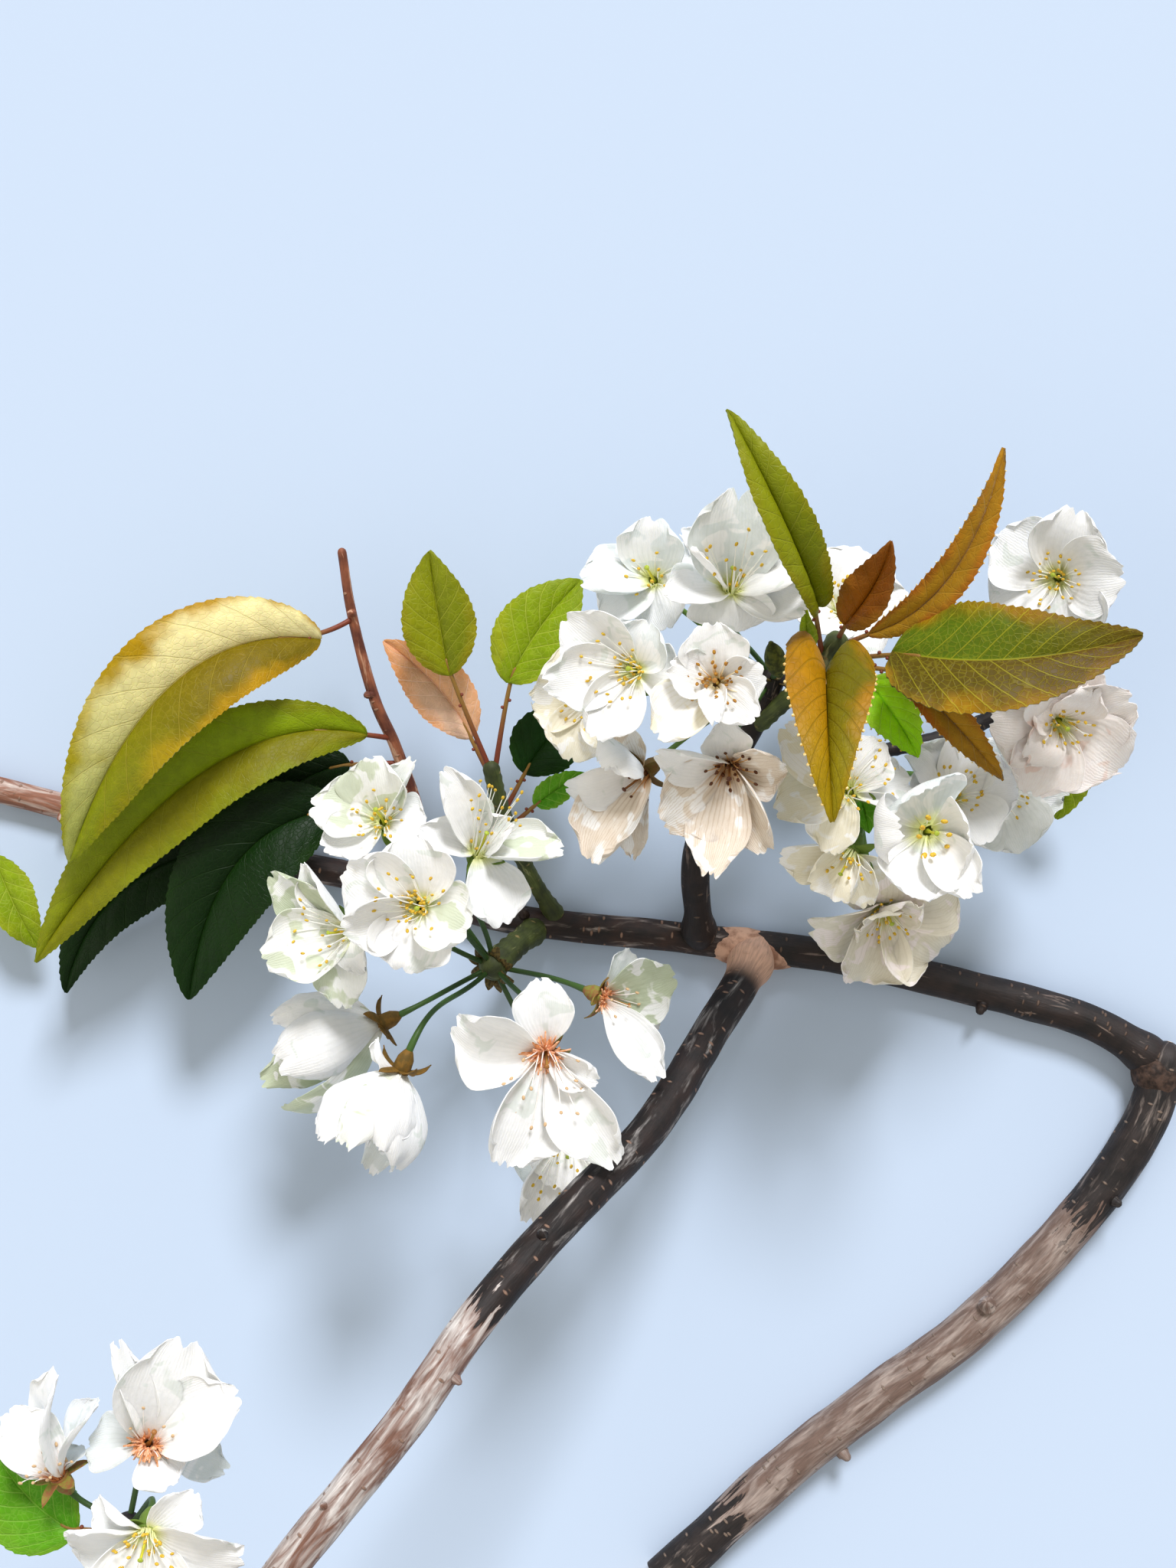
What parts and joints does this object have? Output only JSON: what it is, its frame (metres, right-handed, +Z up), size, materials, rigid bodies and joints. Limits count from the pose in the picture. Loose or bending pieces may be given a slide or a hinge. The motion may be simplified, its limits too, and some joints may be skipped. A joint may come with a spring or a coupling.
{
  "type": "flowering cherry branch",
  "caption": "Cut branch of white flowering cherry lying on its side, with dark bark, clusters of white blossom on spurs and young green and bronze leaves.",
  "frame": {"origin": "middle of the underside of the box round the branch, on the surface it lies on", "axes": "+Z up from the surface, +X along the longest side, from the free end of the left branch to the elbow, +Y from the two cut ends towards the leaves"},
  "size_m": [0.3631, 0.3292, 0.1366],
  "materials": {
    "bark": "dark brown, slightly glossy cherry bark with pale cross lines",
    "pale_bark": "weathered reddish and silver-grey cherry bark",
    "green_twig": "green-brown young spur wood",
    "red_twig": "smooth reddish young twig",
    "blossom": "thin matt white petals, stands in for petal tissue",
    "olive_leaf": "young leaf, satin",
    "bronze_leaf": "young bronze leaf, satin",
    "amber_leaf": "young amber leaf, satin",
    "yellow_leaf": "yellow-green leaf, satin",
    "green_leaf": "bright green leaf, satin",
    "dark_leaf": "dark green leaf, satin",
    "pink_leaf": "pinkish-brown young leaf, satin"
  },
  "bodies": {
    "root": {"base_limb": "bark", "cross_branch": "bark", "left_branch": "bark", "upright_shoot": "bark", "near_bough": "pale_bark", "left_spur": "green_twig", "side_spur": "green_twig", "leaf_shoot": "green_twig", "far_twig": "bark", "left_twig": "red_twig", "middle_twig": "green_twig", "low_twig": "bark", "left_bloom_1": "blossom", "left_bloom_2": "blossom", "left_bloom_3": "blossom", "left_bloom_4": "blossom", "left_bloom_5": "blossom", "left_bloom_6": "blossom", "left_bloom_7": "blossom", "left_bloom_8": "blossom", "left_bloom_9": "blossom", "right_bloom_1": "blossom", "right_bloom_2": "blossom", "right_bloom_3": "blossom", "right_bloom_4": "blossom", "right_bloom_5": "blossom", "right_bloom_6": "blossom", "right_bloom_7": "blossom", "side_bloom_1": "blossom", "side_bloom_2": "blossom", "side_bloom_3": "blossom", "side_bloom_4": "blossom", "side_bloom_5": "blossom", "side_bloom_6": "blossom", "side_bloom_7": "blossom", "far_bloom_1": "blossom", "far_bloom_2": "blossom", "low_bloom_1": "blossom", "low_bloom_2": "blossom", "low_bloom_3": "blossom", "top_leaf_1": "olive_leaf", "top_leaf_2": "bronze_leaf", "top_leaf_3": "bronze_leaf", "top_leaf_4": "olive_leaf", "top_leaf_5": "amber_leaf", "top_leaf_6": "green_leaf", "top_leaf_7": "bronze_leaf", "left_leaf_1": "yellow_leaf", "left_leaf_2": "olive_leaf", "left_leaf_3": "dark_leaf", "left_leaf_4": "dark_leaf", "left_leaf_5": "dark_leaf", "middle_leaf_1": "olive_leaf", "middle_leaf_2": "green_leaf", "middle_leaf_3": "pink_leaf", "middle_leaf_4": "dark_leaf", "middle_leaf_5": "green_leaf", "low_leaf": "green_leaf", "far_leaf": "green_leaf", "end_leaf": "yellow_leaf"}
  },
  "joints": []
}
